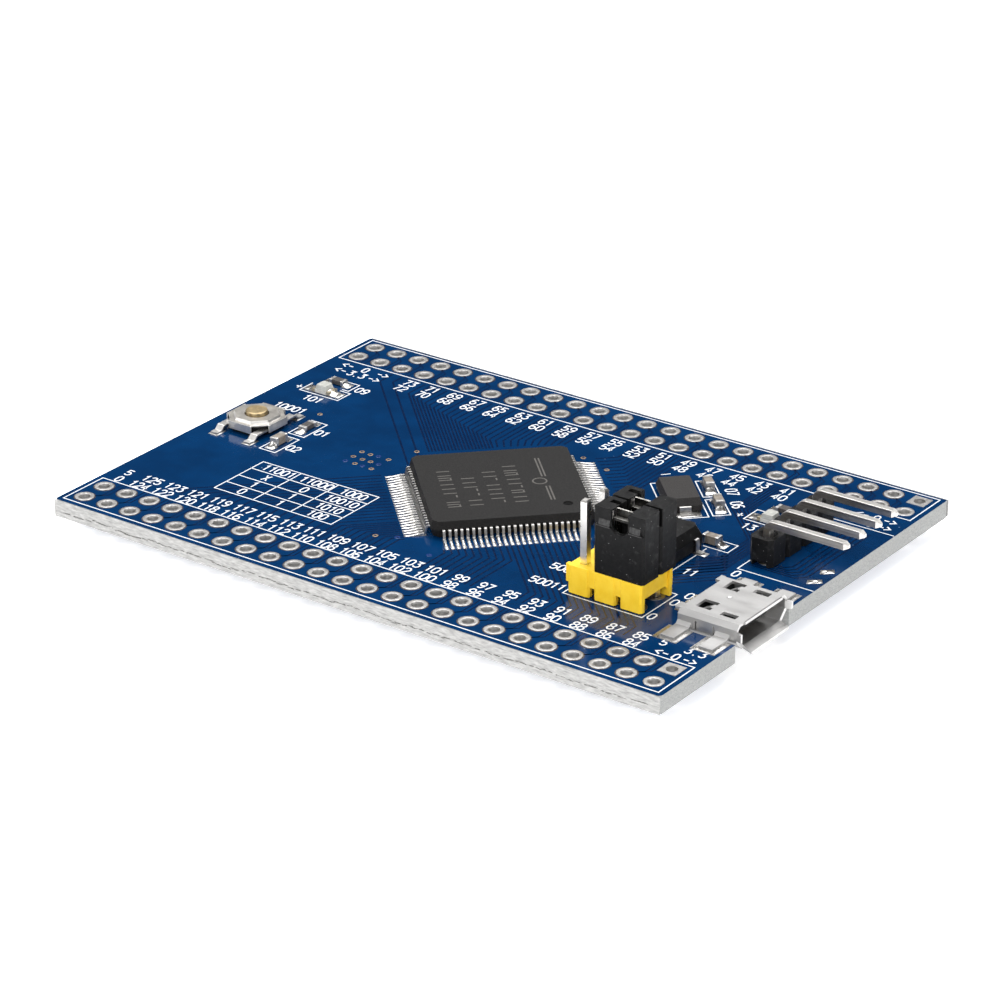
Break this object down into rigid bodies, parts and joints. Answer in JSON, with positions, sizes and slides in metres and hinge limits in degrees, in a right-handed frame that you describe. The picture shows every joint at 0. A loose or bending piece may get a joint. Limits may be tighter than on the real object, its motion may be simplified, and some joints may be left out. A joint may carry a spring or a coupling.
{
  "type": "microcontroller development board",
  "caption": "Blue microcontroller development board with two long double rows of header holes, a boot header with jumper caps, a debug header, a USB socket and a reset switch.",
  "frame": {"origin": "middle of the board's underside", "axes": "+Z out of the face with the controller, +X along the long side towards the USB socket, +Y towards the header beyond the debug header"},
  "size_m": [0.0636, 0.0442, 0.0114],
  "materials": {
    "circuit_board": "glossy blue solder mask over glass-epoxy laminate",
    "tin_plate": "matte tin plate, slightly warm grey",
    "solder": "bright solder",
    "tinned_lead": "bright tinned copper alloy",
    "pin_plating": "tin over nickel, bright, faint drawing lines",
    "clip_metal": "phosphor bronze, tin plated",
    "socket_steel": "nickel-plated sheet steel, satin",
    "cover_steel": "pressed stainless sheet, satin",
    "brass": "turned brass, worn plating",
    "gold_plating": "thin gold flash",
    "chip_mould": "matte moulded epoxy",
    "yellow_nylon": "yellow moulded nylon, slight sheen",
    "black_nylon": "black moulded nylon, slight sheen",
    "led_white": "white laminate",
    "led_resin": "milky clear resin",
    "resistor_black": "black overglaze on white alumina",
    "ceramic_tan": "fired ceramic, brown grey"
  },
  "bodies": {
    "board": {"boot_header_insulator": "yellow_nylon", "boot_header_pins": "pin_plating", "capacitor_bodies": "ceramic_tan", "capacitor_ends": "tinned_lead", "crystal_32khz_body": "black_nylon", "crystal_32khz_leads": "tinned_lead", "crystal_8mhz_body": "chip_mould", "crystal_8mhz_terminals": "tinned_lead", "debug_header_insulator": "black_nylon", "debug_header_pins": "pin_plating", "mcu_body": "chip_mould", "mcu_leads": "tinned_lead", "pcb": "circuit_board", "plated_holes_far": "tin_plate", "plated_holes_near": "tin_plate", "plated_holes_small_headers": "tin_plate", "power_led_base": "led_white", "power_led_lens": "led_resin", "power_led_terminals": "gold_plating", "regulator_body": "chip_mould", "regulator_leads": "tinned_lead", "reset_snap_dome": "cover_steel", "reset_switch_base": "black_nylon", "reset_switch_cover": "cover_steel", "reset_switch_terminals": "tinned_lead", "resistor_bodies": "resistor_black", "resistor_ends": "tinned_lead", "solder_joints": "solder", "surface_pads": "tin_plate", "underside_capacitor_bodies": "ceramic_tan", "underside_capacitor_ends": "tinned_lead", "underside_pads": "tin_plate", "underside_resistor_bodies": "resistor_black", "underside_resistor_ends": "tinned_lead", "usb_contacts": "gold_plating", "usb_shell": "socket_steel", "usb_tongue": "black_nylon", "user_led_base": "led_white", "user_led_lens": "led_resin", "user_led_terminals": "gold_plating"},
    "reset_button": {"reset_button": "brass"},
    "boot0_jumper": {"boot0_jumper_cap": "black_nylon", "boot0_jumper_clip": "clip_metal"},
    "boot1_jumper": {"boot1_jumper_cap": "black_nylon", "boot1_jumper_clip": "clip_metal"}
  },
  "joints": [
    {"name": "reset_press", "type": "slide", "parent": "board", "child": "reset_button", "axis": [0, 0, -1], "range_m": [0, 0.00025], "stiffness_N_per_m": 6400, "deforming": ["reset_snap_dome"]},
    {"name": "boot0_lift", "type": "slide", "parent": "board", "child": "boot0_jumper", "axis": [0, 0, 1], "range_m": [0, 0.007]},
    {"name": "boot1_lift", "type": "slide", "parent": "board", "child": "boot1_jumper", "axis": [0, 0, 1], "range_m": [0, 0.007]}
  ]
}
